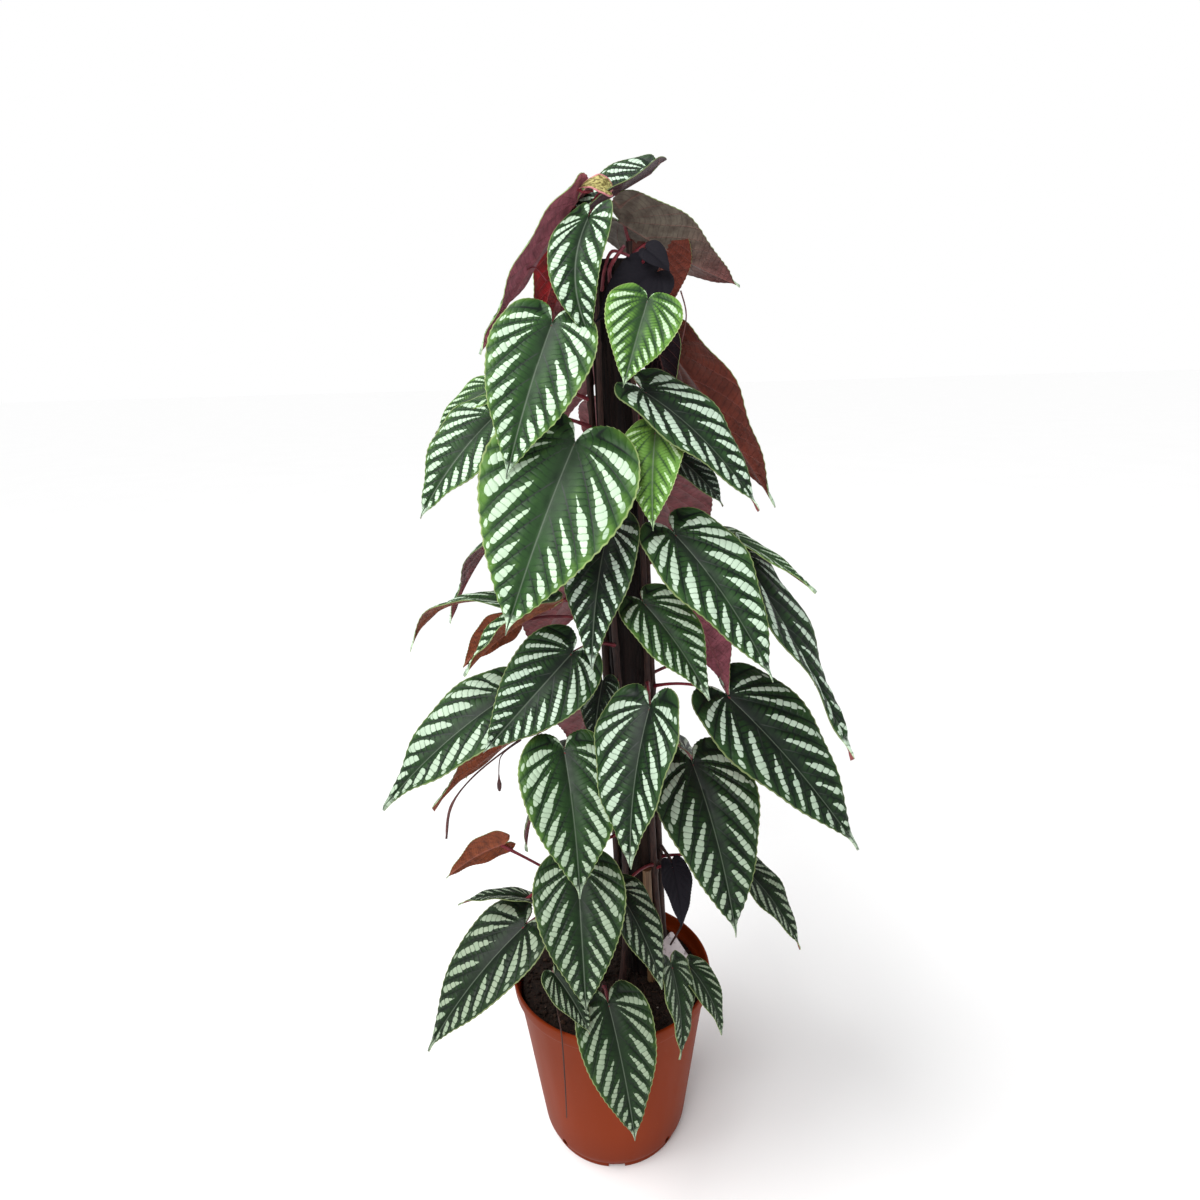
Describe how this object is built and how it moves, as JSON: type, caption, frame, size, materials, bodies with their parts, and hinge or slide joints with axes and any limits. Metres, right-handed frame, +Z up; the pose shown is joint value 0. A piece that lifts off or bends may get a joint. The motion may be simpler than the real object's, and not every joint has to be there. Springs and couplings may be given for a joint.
{
  "type": "potted rex begonia vine",
  "caption": "Climbing foliage plant with silver-banded heart-shaped leaves, trained up a fibre pole in a round terracotta-coloured nursery pot.",
  "frame": {"origin": "centre of the pot's underside, on the surface that the pot stands on", "axes": "+Z up along the pot's axis, -Y towards the side that the picture shows, +X to the right of that side"},
  "size_m": [0.3395, 0.294, 0.7913],
  "materials": {
    "pot_plastic": "moulded terracotta-coloured plastic, semi-matte",
    "soil": "crumbly dark potting soil with fibres",
    "pole_fibre": "dark brown coconut fibre, rough",
    "bamboo": "dry tan bamboo, satin",
    "label_plastic": "plain white plastic, matte",
    "vine": "green leaves with silver bands and dark red undersides, on red-brown stems"
  },
  "bodies": {
    "root": {"nursery_pot": "pot_plastic", "potting_soil": "soil", "climbing_pole": "pole_fibre", "bamboo_cane": "bamboo", "plant_label": "label_plastic", "front_left_shoot": "vine", "front_right_shoot": "vine", "left_shoot": "vine", "right_shoot": "vine", "right_back_shoot": "vine", "back_shoot": "vine", "left_back_shoot": "vine", "foot_shoot_front": "vine", "foot_shoot_left": "vine", "foot_shoot_right": "vine"}
  },
  "joints": []
}
